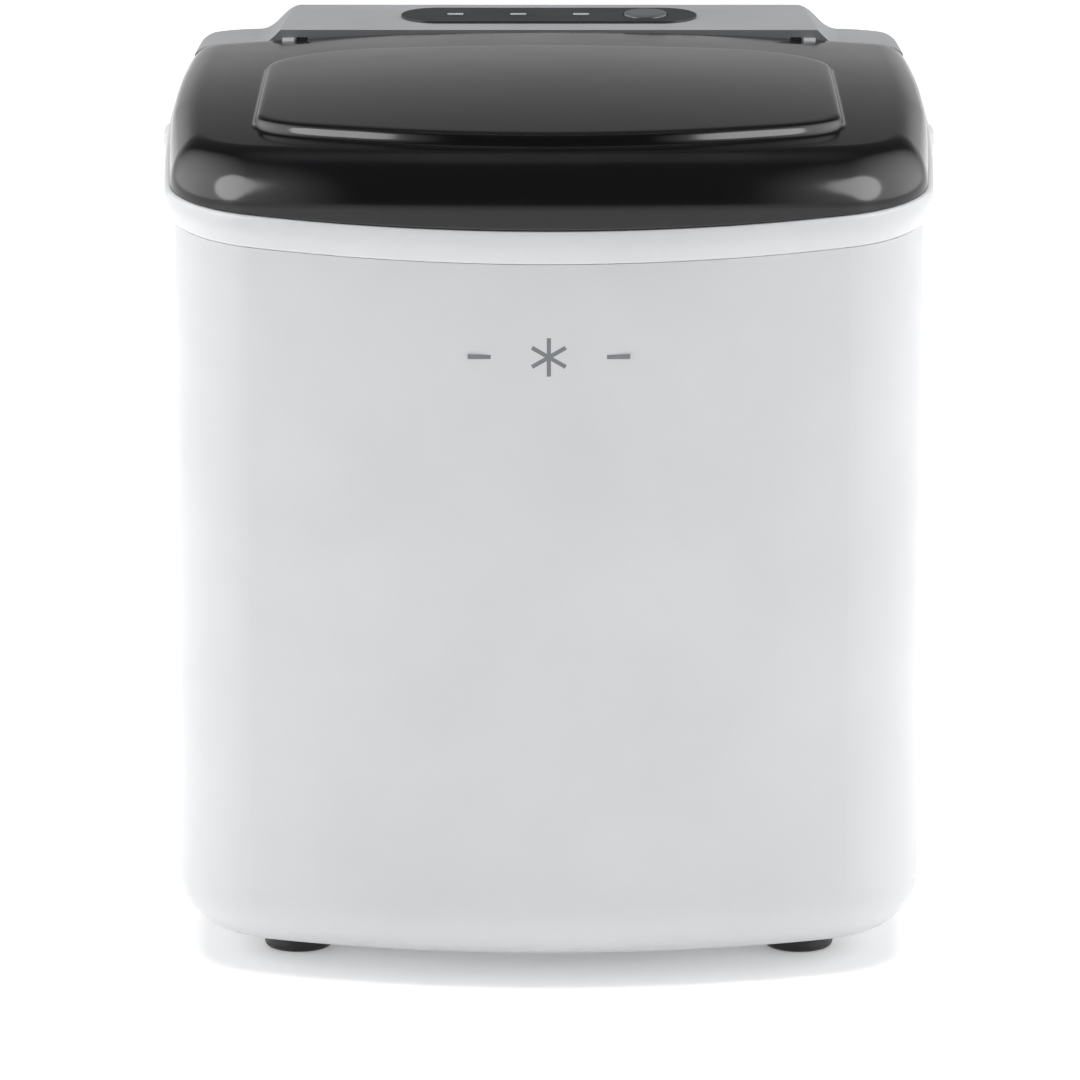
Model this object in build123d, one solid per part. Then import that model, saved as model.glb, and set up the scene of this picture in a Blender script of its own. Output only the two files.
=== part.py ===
from build123d import *
import math
import os

# Countertop ice maker. Millimetres, +Z up, front towards -Y, origin on the ground under the middle.

# Overall sizes
half_width = 119.0        # top frame at its corners
side_bow = 4.5            # the sides swell this much between the corners
depth = 295.0
front_bow = 29.0          # how far the front curves back at its corners
front_corner_r = 42.0
rear_corner_r = 24.0
foot_height = 8.0
wall = 2.2                # housing walls
gap = 0.3                 # assembly gap between neighbouring pieces
run = 0.05                # radial clearance of a running fit

# Insets of the casing pieces from the top frame's outline
lid_inset = 1.5
body_inset = 3.0
tub_inset = 24.0          # inner face of the tub
foam_gap = 0.5
floor_lip = 8.0           # flat lip of the housing around its bottom opening

# Seam between top frame and lid, in side view
seam_front_z = 240.0
seam_rise_mid = 14.5
seam_rise_rear = 18.0
seam_mid_share = 0.581    # the seam's arc passes its middle point this far along from front to hinge
frame_height = 10.4
frame_width = 12.0
skirt_thick = 2.5
grip_length = 24.0
grip_reach = 1.5
side_vent_z = 60.0
side_vents = 10
vent_pitch = 9.0
vent_height = 3.0
bottom_r = 18.0           # rounded bottom edge, all round the housing
floor_inset = 28.0        # the flat floor starts this far in from the top frame's outline

# Lid
lid_wall = 2.5
lid_front_z = 263.0
lid_rear_z = 271.0
lid_crown = 5.0
lid_shoulder_r = 10.0
lid_front_r = 6.0
plateau_half = 92.0
plateau_length = 180.0
plateau_set_back = 14.0
plateau_corner_r = 28.0
plateau_rise = 3.5

# Hinge
hinge_from_rear = 54.0    # pin axis ahead of the back of the machine
hinge_z = 266.0
hinge_pin_r = 1.2
hinge_roll_r = 5.2        # the lid's rear edge is rolled to this radius about the pins
hinge_x = 85.8            # inner side of the notch for the console's ear
ear_width = 4.0

# Console
console_front_drop = 3.0  # the deck of the hump falls this much to its front
console_top_z = 274.0
hump_half = 85.5
hump_base_half = 99.0
console_shoulder_z = 265.6
console_shoulder_r = 8.0
console_wall = 2.5
panel_length = 101.0
panel_width = 25.0
panel_thick = 0.8
button_x = 33.0
button_r = 7.4
lens_xs = (-32.0, -10.5, 11.0)

# Tub, basket and chute
tub_wall = 2.0
tub_floor_z = 40.0
tub_step_z = 128.0
tub_rim_z = 228.5
tub_rear_y = 60.0
reservoir_rear_y = -8.0
basket_inset = 27.0
basket_wall = 1.8
basket_floor_z = 84.0
basket_top_z = 158.0
basket_rear_y = -44.0
chute_half = 80.0
chute_half_angle = 50.0

# Ice mechanism: tray, pusher and chute share one axis along X
tray_y = 10.0
tray_z = 205.0
tray_inner_r = 36.0
tray_wall = 2.5
tray_half = 64.0
pivot_r = 3.0
pusher_inner_r = 44.0
pusher_outer_r = 58.0
pusher_rest_angle = 45.0
chute_inner_r = 60.0
arm_x = 67.0
arm_thick = 3.0
bracket_x = 74.0
bracket_thick = 5.0
finger_r = 4.5
finger_length = 32.0
finger_pitch = 24.0
manifold_z = 216.0
manifold_r = 5.6
finger_rows = ((5, -1.0), (4, 21.0))
pipe_x = 50.0
pipe_r = 2.5
pipe_top_z = 247.0
pipe_rear_y = 80.0

# Pump and drain
pump_x = 45.0
pump_y = -35.0
pump_r = 18.0
pump_height = 32.0
impeller_r = 11.5
hose_r = 4.0
drain_y = -60.0
drain_z = 50.0
drain_bore_r = 5.0
drain_head_r = 12.0
drain_recess_r = 15.0

# Cooling side
floor_plate_z = 10.4
floor_plate_thick = 2.6
compressor_x = -48.0
compressor_y = 66.0
compressor_r = 38.0
compressor_top_z = 118.0
mount_height = 8.0
condenser_x0, condenser_x1 = 14.0, 106.0
condenser_y0, condenser_y1 = 88.0, 110.0
condenser_z0, condenser_z1 = 18.0, 128.0
fan_x = 60.0
fan_z = 74.0
fan_r = 41.0
fan_hole_r = 43.5
hub_r = 17.0
shaft_r = 2.0
inlet_x = -62.0
inlet_z = 42.0
foot_x = 80.0
foot_y = 88.0
foot_r = 11.0
foot_neck_r = 6.0
split_from_rear = 32.0    # joint between front shell and rear cover
badge_z = 201.0
badge_height = 12.0
badge_line = 14.0
badge_thick = 0.8
badge_bow_r = 250.0       # the front wall's curve behind the badge

front_y = -depth / 2
rear_y = depth / 2
hinge_y = rear_y - hinge_from_rear
lid_rear_y = hinge_y + hinge_roll_r
console_front_y = lid_rear_y + 4 * gap
split_y = rear_y - split_from_rear
plate_top_z = floor_plate_z + floor_plate_thick
seam_mid_y = seam_mid_share * (hinge_y - front_y)
flange_z = tub_rim_z - tub_wall


def block(x0, x1, y0, y1, z0, z1):
    """Box between two corners."""
    size = (x1 - x0, y1 - y0, z1 - z0)
    return Pos((x0 + x1) / 2, (y0 + y1) / 2, (z0 + z1) / 2) * Box(*size)


def rod(start, axis, radius, length):
    """Round bar from a start point along X, Y or Z."""
    direction = {"X": (1, 0, 0), "Y": (0, 1, 0), "Z": (0, 0, 1)}[axis]
    plane = Plane(origin=start, z_dir=direction)
    return extrude(plane * Circle(radius), length)


def mirrored(solid):
    """A piece and its mirror image across the middle of the machine."""
    return [solid, mirror(solid, Plane.YZ)]


def plan(inset):
    """Outline seen from above, drawn in from the top frame's outline."""
    half = half_width - inset
    front = front_y + inset
    back = rear_y - inset
    corner = front + front_bow
    middle = (corner + back) / 2
    edges = [
        ThreePointArc((-half, corner), (0, front), (half, corner)),
        ThreePointArc((half, corner), (half + side_bow, middle), (half, back)),
        Line((half, back), (-half, back)),
        ThreePointArc((-half, back), (-half - side_bow, middle), (-half, corner)),
    ]
    face = make_face(edges)
    front_corners = face.vertices().group_by(Axis.Y)[0]
    face = fillet(front_corners, max(front_corner_r - inset, 3))
    rear_corners = face.vertices().group_by(Axis.Y)[-1]
    return fillet(rear_corners, max(rear_corner_r - inset, 3))


def column(inset, z0, z1, back=None):
    """The plan outline raised from z0 to z1, cut off at a back plane if one is given."""
    solid = extrude(Pos(0, 0, z0) * plan(inset), z1 - z0)
    if back is None:
        return solid
    return solid & block(-200, 200, -200, back, z0 - 1, z1 + 1)


def seam_solid(offset, low=False):
    """Everything above the seam surface moved up by offset, or everything below it."""
    far = 400
    z0 = seam_front_z + offset
    arc = ThreePointArc(
        (front_y, z0),
        (front_y + seam_mid_y, z0 + seam_rise_mid),
        (hinge_y, z0 + seam_rise_rear),
    )
    limit = -100 if low else far
    outline = Polyline(
        (hinge_y, z0 + seam_rise_rear),
        (far, z0 + seam_rise_rear),
        (far, limit),
        (front_y - 50, limit),
        (front_y - 50, z0),
        (front_y, z0),
    )
    profile = Plane.YZ * make_face([arc, outline])
    return extrude(profile, 200, both=True)


def seam_layer(inset, z_low, z_high, back=None):
    """A plate of the plan outline that follows the seam between two offsets."""
    solid = column(inset, 150, 330, back)
    return solid & seam_solid(z_low) & seam_solid(z_high, low=True)


def body_solid(inset):
    """The outer form of the lower housing, with its bottom edge rounded all the way round."""
    grow = inset - body_inset
    z0 = foot_height + grow
    form = column(inset, z0, z0 + 260)
    return fillet(form.edges().group_by(Axis.Z)[0], bottom_r - grow)


def housing():
    """Thin-walled lower housing, open at the top and under the floor plate."""
    skin = body_solid(body_inset) - body_solid(body_inset + wall)
    skin -= column(floor_inset + floor_lip, 0, foot_height + wall + 1)
    skin -= [rod((x, y, 0), "Z", foot_neck_r + gap, foot_height + wall + 1) for x, y in foot_points()]
    return skin & seam_solid(-frame_height - gap, low=True)


def slots(x0, x1, y0, y1, z0, count, pitch, height):
    """A stack of long cutters, one above another."""
    return [
        block(x0, x1, y0, y1, z0 + i * pitch, z0 + i * pitch + height)
        for i in range(count)
    ]


def mirrored_each(solids):
    """Several pieces and their mirror images."""
    return [piece for solid in solids for piece in mirrored(solid)]


def make_front_shell():
    shell = housing() & block(-200, 200, -200, split_y, -10, 400)
    stack = (side_vent_z, side_vents, vent_pitch, vent_height)
    shell -= mirrored_each(slots(90, 200, split_y - 62, split_y - 18, *stack))
    shell -= make_badge()
    return shell - drain_cutter(drain_recess_r)


def make_rear_cover():
    cover = housing() & block(-200, 200, split_y + gap, 200, -10, 400)
    back = rear_y - body_inset - wall
    cover -= slots(fan_x - 36, fan_x + 36, back - 1, 200, fan_z - 34, 9, 8, 4)
    cover -= slots(-100, -24, back - 1, 200, 74, 6, 8, 4)
    cover -= slots(-60, 60, back - 1, 200, 190, 4, 8, 4)
    cover -= block(inlet_x - 13, inlet_x + 13, back - 1, 200, inlet_z - 9.5, inlet_z + 9.5)
    for x, y, z in rear_screw_points():
        cover -= rod((x, back - 1, z), "Y", 1.6, 20)
    return cover


def rear_screw_points():
    """Places of the screws through the rear cover."""
    y = rear_y - body_inset
    return [(x, y, z) for x in (-96, 96) for z in (40, 140, 222)]


def make_rear_screws():
    return [
        rod((x, y - 9, z), "Y", 1.5, 9) + rod((x, y, z), "Y", 3.0, 1.6)
        for x, y, z in rear_screw_points()
    ]


def make_top_frame():
    ring = seam_layer(0, -frame_height, 0)
    ring -= column(frame_width, 100, 330)
    skirt_in = body_inset + wall + gap
    skirt = column(skirt_in, tub_rim_z + gap, 300) - column(skirt_in + skirt_thick, 100, 330)
    skirt &= seam_solid(-1, low=True)
    ring += skirt
    grip_y = front_y + seam_mid_y
    lip_x = half_width + side_bow
    lip_z = seam_front_z + seam_rise_mid
    y0 = grip_y - grip_length / 2
    lip = block(lip_x - 4, lip_x + grip_reach, y0, y0 + grip_length, lip_z - 8, lip_z - 1)
    return ring + mirrored(lip)


def lid_form(inset, drop):
    """Closed form of the lid: the plan under an arched top with rounded shoulders and front edge."""
    half = half_width + side_bow - inset
    top = ThreePointArc((-half, -lid_crown), (0, 0), (half, -lid_crown))
    sides = Polyline((half, -lid_crown), (half, -80), (-half, -80), (-half, -lid_crown))
    face = Plane.XZ * make_face([top, sides])
    corners = face.vertices().group_by(Axis.Z)[-1]
    face = fillet(corners, max(lid_shoulder_r - drop, 1))
    pitch = math.degrees(math.atan2(lid_rear_z - lid_front_z, lid_rear_y - front_y))
    place = Pos(0, front_y, lid_front_z - drop) * Rot(pitch, 0, 0)
    arch = place * extrude(face, -320)
    arch += place * extrude(face, 20)
    front = front_y + inset
    edge = Plane.YZ * Pos(front + 200, 100) * Rectangle(400, 2 * (lid_front_z - drop + 9) - 200)
    upper = edge.vertices().group_by(Axis.Z)[-1].sort_by(Axis.Y)[0]
    edge = fillet(upper, lid_front_r + 9)
    front_form = extrude(edge, 200, both=True)
    form = column(inset, 200, 330, lid_rear_y) & seam_solid(gap)
    roll = rod((-200, hinge_y, hinge_z), "X", hinge_roll_r - drop, 400)
    roll += block(-200, 200, -200, hinge_y, 100, 400)
    return form & arch & front_form & roll


def make_lid_shell():
    outer = lid_form(lid_inset, 0)
    plateau = lid_form(lid_inset, -plateau_rise) & plateau_column(plateau_half)
    inner = lid_form(lid_inset + lid_wall, lid_wall)
    inner += lid_form(lid_inset + lid_wall, lid_wall - plateau_rise) & plateau_column(
        plateau_half - lid_wall
    )
    below = seam_layer(lid_inset + lid_wall, 0, 4, lid_rear_y)
    shell = outer + plateau - inner - below
    shell -= mirrored(hinge_notch())
    shell += mirrored(lid_knuckle())
    return shell - mirrored(hinge_bore())


def plateau_column(half):
    """Rounded rectangle raised through the lid, for the raised panel on top."""
    margin = plateau_half - half
    y0 = front_y + lid_inset + plateau_set_back + margin
    y1 = y0 + plateau_length - 2 * margin
    face = Pos(0, (y0 + y1) / 2, 200) * Rectangle(2 * half, y1 - y0)
    return extrude(fillet(face.vertices(), plateau_corner_r - margin), 100)


def hinge_notch():
    """Room in the lid's rear edge for one ear of the console."""
    x1 = hinge_x + ear_width + 2 * gap
    return block(hinge_x, x1, hinge_y - 5.5, hinge_y + 20, 240, 290)


def lid_knuckle():
    """Eye under the lid's rear edge, inboard of the notch, that turns on the hinge pin."""
    x0 = hinge_x - ear_width - gap
    eye = rod((x0, hinge_y, hinge_z), "X", 3.4, ear_width)
    return eye + block(x0, x0 + ear_width, hinge_y - 8, hinge_y, hinge_z - 3.4, hinge_z + 1.2)


def hinge_bore():
    """Running bore for one hinge pin through the knuckle."""
    x0 = hinge_x - ear_width - 2 * gap
    return rod((x0, hinge_y, hinge_z), "X", hinge_pin_r + run, ear_width + 3 * gap)


def make_hinge_pins():
    length = 2 * ear_width + 2 * gap
    return mirrored(rod((hinge_x - ear_width - gap, hinge_y, hinge_z), "X", hinge_pin_r, length))


def make_lid_liner():
    return seam_layer(8, 2.2, 4.2, hinge_y - 8)


def make_lid_seal():
    loop = seam_layer(7, gap, 2.2, hinge_y - 8)
    return loop - column(11, 100, 330, hinge_y - 12)


def console_profile(drop):
    """Front view of the console: a hump between two shoulders, lowered by the wall for the inside."""
    edge = half_width + side_bow - lid_inset - drop
    base = seam_front_z + seam_rise_rear - 1
    shoulder = console_shoulder_z - drop
    top = console_top_z - drop
    r = console_shoulder_r - drop
    right = [
        Line((edge, base), (edge, shoulder - r)),
        RadiusArc((edge, shoulder - r), (edge - r, shoulder), -r),
        Line((edge - r, shoulder), (hump_base_half, shoulder)),
        Spline(
            (hump_base_half, shoulder),
            (hump_half, top),
            tangents=((-1, 0.15), (-1, 0.15)),
        ),
        Line((hump_half, top), (0, top)),
    ]
    left = [mirror(edge_line, Plane.YZ) for edge_line in right]
    closing = Line((-edge, base), (edge, base))
    return make_face([*right, *left, closing])


def console_form(inset, drop):
    """Closed form of the console, its hump's deck falling towards the lid."""
    profile = Plane.XZ * console_profile(drop)
    form = extrude(profile, -200)
    form &= column(inset, 100, 330)
    form &= seam_solid(0)
    tilt = math.degrees(math.atan2(console_front_drop, rear_y - console_front_y))
    deck = Pos(0, rear_y, console_top_z - drop) * Rot(tilt, 0, 0) * block(-200, 200, -200, 50, -80, 0)
    return form & deck


def make_console_cover():
    outer = console_form(lid_inset, 0) & block(-200, 200, console_front_y, 200, 0, 400)
    inner = console_form(lid_inset + console_wall, console_wall)
    inner &= block(-200, 200, console_front_y + console_wall, 200, 0, 400)
    cover = outer - inner
    hang = block(-104, 104, console_front_y, console_front_y + console_wall, tub_rim_z + gap, 262)
    cover += hang
    cover += mirrored(console_ear())
    cover -= mirrored(rod((hinge_x, hinge_y, hinge_z), "X", hinge_pin_r, ear_width + 1))
    return cover - button_cutter(button_r + gap, 260, 280) - lens_cutters(0.1)


def console_ear():
    """Ear that holds the outer end of one hinge pin."""
    x0 = hinge_x + gap
    ear = rod((x0, hinge_y, hinge_z), "X", 3.2, ear_width)
    return ear + block(x0, x0 + ear_width, hinge_y, console_front_y + 1, hinge_z - 3.2, hinge_z + 1)


def deck_plane():
    """Plane of the hump's deck, at the middle of the control panel."""
    tilt = math.degrees(math.atan2(console_front_drop, rear_y - console_front_y))
    y = (console_front_y + rear_y) / 2
    z = console_top_z - console_front_drop * (rear_y - y) / (rear_y - console_front_y)
    return Pos(0, y, z) * Rot(tilt, 0, 0)


def button_cutter(radius, z0, z1):
    """Round cutter at the button, square to the deck."""
    low = z0 - console_top_z
    high = z1 - console_top_z
    disc = Pos(button_x, 0, low) * Circle(radius)
    return deck_plane() * extrude(disc, high - low)


def lens_cutters(clearance):
    """Small windows for the three indicator lamps, grown by a clearance."""
    size = (5.4 + 2 * clearance, 2.6 + 2 * clearance)
    return [
        deck_plane() * extrude(Pos(x, 0, -6) * Rectangle(*size), 8) for x in lens_xs
    ]


def make_control_panel():
    plate = extrude(SlotOverall(panel_length, panel_width), panel_thick)
    plate = deck_plane() * plate
    return plate - button_cutter(button_r + gap, 260, 280) - lens_cutters(0.1)


def make_indicator_lenses():
    return [
        deck_plane() * extrude(Pos(x, 0, -4) * Rectangle(5.4, 2.6), 4 + panel_thick + 0.2)
        for x in lens_xs
    ]


def make_power_button():
    cap = extrude(Pos(button_x, 0, -4.5) * Circle(button_r), 6.2)
    cap = fillet(cap.edges().group_by(Axis.Z)[-1], 1.2)
    flange = extrude(Pos(button_x, 0, -5.5) * Circle(button_r + 1.6), 1.5)
    stem = extrude(Pos(button_x, 0, -7) * Circle(2), 2)
    return deck_plane() * (cap + flange + stem)


def make_control_board():
    board = Pos(0, 0, -13.2) * Box(2 * 48, 30, 1.6)
    posts = [Pos(x, y, -8.2) * Box(5, 5, 11.4) for x in (-44, 44) for y in (-11, 11)]
    lamps = [Pos(x, 0, -8.4) * Cylinder(1.8, 8) for x in lens_xs]
    switch = Pos(button_x, 0, -10.4) * Box(6, 6, 4)
    board = board + posts + lamps + switch
    return deck_plane() * board


def make_inner_tub():
    outer_in = tub_inset - tub_wall
    outer = column(outer_in, tub_step_z - tub_wall, tub_rim_z, tub_rear_y + tub_wall)
    outer += column(outer_in, tub_floor_z - tub_wall, tub_step_z, reservoir_rear_y + tub_wall)
    flange_back = console_front_y + console_wall - gap
    outer += column(body_inset + wall + 3.2, flange_z, tub_rim_z, flange_back)
    inner = column(tub_inset, tub_step_z, 300, tub_rear_y)
    inner += column(tub_inset, tub_floor_z, 200, reservoir_rear_y)
    tub = outer - inner
    ledge = block(86, 98, -100, -52, basket_floor_z - 4, basket_floor_z - gap)
    tub += [piece & column(tub_inset - 1, 0, 300) for piece in mirrored(ledge)]
    tub -= mirrored(rod((pipe_x, pipe_rear_y, 200), "Z", pipe_r + 1.5, 60))
    return tub - drain_cutter(drain_bore_r)


def make_foam():
    foam_in = body_inset + wall + foam_gap
    foam = body_solid(foam_in) & block(-200, 200, -200, 66, plate_top_z + gap, flange_z - gap)
    grown = tub_inset - tub_wall - foam_gap
    foam -= column(grown, tub_step_z - tub_wall - foam_gap, 300, tub_rear_y + tub_wall + foam_gap)
    foam -= column(grown, tub_floor_z - tub_wall - foam_gap, 300, reservoir_rear_y + tub_wall + foam_gap)
    foam -= block(-108, 108, reservoir_rear_y + 12, 80, 0, tub_step_z - 6)
    return foam - drain_cutter(drain_recess_r + 1)


def arc_plate(inner, outer, half, low_angle, high_angle):
    """Part of a tube about the tray axis; angles run from straight down, positive to the rear."""
    tube = rod((-half, tray_y, tray_z), "X", outer, 2 * half)
    tube -= rod((-half - 1, tray_y, tray_z), "X", inner, 2 * half + 2)
    reach = 3 * outer
    points = [(0, 0)]
    for angle in (low_angle, (low_angle + high_angle) / 2, high_angle):
        a = math.radians(angle)
        points.append((reach * math.sin(a), -reach * math.cos(a)))
    wedge = Plane.YZ * Pos(tray_y, tray_z) * make_face(Polyline(*points, close=True))
    return tube & extrude(wedge, half + 5, both=True)


def make_ice_chute():
    outer = chute_inner_r + 2
    chute = arc_plate(chute_inner_r, outer, chute_half, -chute_half_angle, chute_half_angle)
    drain = [
        block(x - 1.5, x + 1.5, tray_y - 25, tray_y + 25, 100, tray_z - chute_inner_r + 20)
        for x in range(-72, 73, 12)
    ]
    chute -= drain
    low = tray_z - outer
    ribs = mirrored(block(40, 43, tray_y - 20, tray_y + 20, tub_step_z + gap, low + 5))
    ribs = [rib - rod((-100, tray_y, tray_z), "X", outer - 0.5, 200) for rib in ribs]
    return chute + ribs


def make_ice_basket():
    outer = column(basket_inset, basket_floor_z, basket_top_z, basket_rear_y)
    inner_back = basket_rear_y - basket_wall
    inner = column(basket_inset + basket_wall, basket_floor_z + basket_wall, 300, inner_back)
    basket = outer - inner
    rim = column(basket_inset - 1.5, basket_top_z - 3, basket_top_z, basket_rear_y)
    basket += rim - inner
    slot_z = (basket_floor_z + 12, basket_top_z - 16)
    for x in range(-66, 67, 12):
        basket -= block(x - 2.5, x + 2.5, -200, 0, *slot_z)
        basket -= block(x - 2, x + 2, -104, basket_rear_y - 14, 0, basket_floor_z + 5)
    return basket


def finger_points():
    """X and Y of each evaporator finger."""
    return [
        ((i - (count - 1) / 2) * finger_pitch, y)
        for count, y in finger_rows
        for i in range(count)
    ]


def make_evaporator():
    low = manifold_z - finger_length - manifold_r
    body = [
        fillet(rod((x, y, low), "Z", finger_r, manifold_z - low).edges().group_by(Axis.Z)[0], 3)
        for x, y in finger_points()
    ]
    reach = 56.0
    tubes = [rod((-reach, y, manifold_z), "X", manifold_r, 2 * reach) for _, y in finger_rows]
    (_, y0), (_, y1) = finger_rows
    cross = rod((-reach + 6, y0, manifold_z), "Y", 4, y1 - y0)
    return tubes[0] + tubes[1] + body + cross


def make_evaporator_bracket():
    y0 = finger_rows[0][1] - 3
    foot_y0 = tub_rear_y + 8
    strap = block(24, 36, y0, y0 + 2, manifold_z + 4.9, pipe_top_z + 3)
    strap += block(24, 36, y0, foot_y0 + 2, pipe_top_z + 1, pipe_top_z + 3)
    strap += block(24, 36, foot_y0, foot_y0 + 2, tub_rim_z + 0.1, pipe_top_z + 3)
    strap += block(24, 36, foot_y0, foot_y0 + 12, tub_rim_z + 0.1, tub_rim_z + 2)
    strap -= rod((0, finger_rows[0][1], manifold_z), "X", manifold_r, 60)
    return mirrored(strap)


def tube(points, radius, bends):
    """Pipe along straight runs joined by arcs."""
    path = FilletPolyline(*points, radius=bends)
    start = Plane(origin=points[0], z_dir=Vector(*points[1]) - Vector(*points[0]))
    return sweep(start * Circle(radius), path=path)


def make_suction_pipe():
    y0 = finger_rows[0][1]
    points = [
        (pipe_x, y0, manifold_z + manifold_r),
        (pipe_x, y0, pipe_top_z),
        (pipe_x, pipe_rear_y, pipe_top_z),
        (pipe_x, pipe_rear_y, 140),
        (-30, pipe_rear_y + 4, 140),
        (-30, pipe_rear_y + 4, compressor_top_z),
    ]
    return tube(points, pipe_r, 9)


def make_hot_gas_pipe():
    y0 = finger_rows[0][1]
    points = [
        (-pipe_x, y0, manifold_z + manifold_r),
        (-pipe_x, y0, pipe_top_z),
        (-pipe_x, pipe_rear_y, pipe_top_z),
        (-pipe_x, pipe_rear_y, 190),
    ]
    return tube(points, pipe_r, 9)


def make_gas_valve():
    body = block(-pipe_x - 9, -pipe_x + 9, pipe_rear_y - 9, pipe_rear_y + 9, 166, 190)
    coil = rod((-pipe_x + 9, pipe_rear_y, 178), "X", 10, 16)
    return body + coil


def make_discharge_pipe():
    points = [
        (-64, 86, compressor_top_z),
        (-64, 86, 150),
        (-pipe_x, pipe_rear_y, 150),
        (-pipe_x, pipe_rear_y, 166),
    ]
    return tube(points, pipe_r, 7)


def make_condenser_pipe():
    points = [
        (-pipe_x, pipe_rear_y + 9, 178),
        (-pipe_x, 99, 178),
        (20, 99, 178),
        (20, 99, condenser_z1),
    ]
    return tube(points, pipe_r, 4)


def make_filter_drier():
    can = rod((98, 99, condenser_z1 + 14), "Z", 8, 44)
    can = fillet(can.edges().group_by(Axis.Z)[0], 5)
    neck = rod((98, 99, condenser_z1), "Z", pipe_r, 16)
    return can + neck


def make_water_tray():
    outer_r = tray_inner_r + tray_wall
    trough = arc_plate(tray_inner_r, outer_r, tray_half, -90, 0)
    trough += arc_plate(tray_inner_r, outer_r, tray_half, 0, 90)
    disc = rod((tray_half - 2, tray_y, tray_z), "X", outer_r, 2)
    disc &= block(0, 100, -100, 200, 100, tray_z)
    boss = rod((tray_half - 2, tray_y, tray_z), "X", 7, 2)
    pin = rod((tray_half - 2, tray_y, tray_z), "X", pivot_r, bracket_x + bracket_thick - tray_half + 2)
    end = disc + boss + pin
    return trough + mirrored(end)


def make_tray_brackets():
    x1 = bracket_x + bracket_thick
    plate = block(bracket_x, x1, tray_y - 9, tub_rear_y - 0.1, tray_z - 12, tray_z + 9)
    plate = fillet(plate.edges().filter_by(Axis.X).group_by(Axis.Y)[0], 6)
    return mirrored(plate - rod((bracket_x - 1, tray_y, tray_z), "X", pivot_r + run, bracket_thick + 2))


def make_tray_motor():
    x0 = bracket_x + bracket_thick + 0.1
    can = rod((x0, tray_y, tray_z), "X", 17, 13)
    ears = block(x0, x0 + 2, tray_y - 24, tray_y + 24, tray_z - 5, tray_z + 5)
    return can + fillet(ears.edges().filter_by(Axis.X), 4.5)


def make_ice_pusher():
    hub = rod((arm_x, tray_y, tray_z), "X", 6.5, arm_thick)
    arm = block(arm_x, arm_x + arm_thick, -4, 4, -pusher_outer_r, 0)
    turn = Pos(0, tray_y, tray_z) * Rot(pusher_rest_angle, 0, 0)
    side = hub + turn * arm
    side -= rod((arm_x - 1, tray_y, tray_z), "X", pivot_r + run, arm_thick + 2)
    reach = arm_x + arm_thick
    blade = block(-reach, reach, -1.25, 1.25, -pusher_outer_r, -pusher_inner_r)
    tip = -pusher_outer_r
    comb = [block(x - 2, x + 2, -5, 5, tip - 1, tip + 6) for x in range(-60, 61, 12)]
    return turn * (blade - comb) + mirrored(side)


def make_ice_sensors():
    y0 = basket_rear_y + 1.5
    x1 = side_x(tub_inset, y0) - gap
    eye = block(x1 - 6, x1, y0, y0 + 9, 168, 182)
    eye += rod((x1 - 8.5, y0 + 4.5, 175), "X", 2.5, 3)
    return mirrored(eye)


def make_pump():
    z0 = tub_floor_z + 0.1
    body = rod((pump_x, pump_y, z0), "Z", pump_r, pump_height)
    body -= rod((pump_x, pump_y, z0 + 12), "Z", pump_r - 3, pump_height)
    body -= rod((pump_x, pump_y, z0 + 4), "Z", 1.5 + run, 20)
    outlet = rod((pump_x + pump_r - 2, pump_y, z0 + 20), "X", 3.0, 10)
    outlet -= rod((pump_x + pump_r - 4, pump_y, z0 + 20), "X", 1.8, 20)
    body += outlet
    return body - rod((pump_x + pump_r - 6, pump_y, z0 + 20), "X", 1.8, 20)


def make_impeller():
    z0 = tub_floor_z + 0.1
    hub = rod((pump_x, pump_y, z0 + 13), "Z", 4, 14)
    shaft = rod((pump_x, pump_y, z0 + 5), "Z", 1.5, 10)
    vane = block(2, impeller_r, -0.8, 0.8, z0 + 14, z0 + 26)
    vanes = [Pos(pump_x, pump_y, 0) * Rot(0, 0, 60 * i) * vane for i in range(6)]
    return hub + shaft + vanes


def make_pump_filter():
    z0 = tub_floor_z + 0.1 + pump_height
    cap = rod((pump_x, pump_y, z0), "Z", pump_r, 3)
    holes = [
        Pos(pump_x, pump_y, z0 - 1) * Rot(0, 0, 45 * i) * Pos(9, 0, 0) * Cylinder(2.4, 12)
        for i in range(8)
    ]
    return cap - holes


def make_water_hose():
    z = tub_floor_z + 20.1
    x_side = 87.0
    points = [
        (pump_x + pump_r + 8.2, pump_y, z),
        (x_side, pump_y, z),
        (x_side, -26, 219),
        (56, -15, 219),
        (56, -15, 209),
    ]
    return tube(points, hose_r, (9, 12, 4.5))


def side_x(inset, y):
    """Half width of the plan outline at a given y along the bowed side."""
    half = half_width - inset
    y0 = front_y + inset + front_bow
    y1 = rear_y - inset
    middle = (y0 + y1) / 2
    radius = ((y1 - y0) ** 2 / 4 + side_bow ** 2) / (2 * side_bow)
    return half + side_bow - radius + math.sqrt(radius ** 2 - (y - middle) ** 2)


def drain_cutter(radius):
    """Round cutter from outside the machine to just inside the tub, along the drain's axis."""
    end = half_width - tub_inset - 25
    return rod((-200, drain_y, drain_z), "X", radius, 200 - end)


def drain_mouth_x():
    """How far out the drain spout ends, inside the recess of the housing."""
    return side_x(body_inset, drain_y) - 6


def make_drain_spout():
    x_tub = side_x(tub_inset - tub_wall, drain_y)
    x_end = drain_mouth_x()
    spout = rod((-x_end, drain_y, drain_z), "X", 8, x_end - x_tub - 2 * gap)
    return spout - rod((-x_end - 1, drain_y, drain_z), "X", drain_bore_r, 60)


def make_drain_seal():
    x_end = drain_mouth_x()
    ring = rod((-x_end - 1, drain_y, drain_z), "X", 7.5, 1)
    return ring - rod((-x_end - 2, drain_y, drain_z), "X", drain_bore_r - run, 4)


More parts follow.
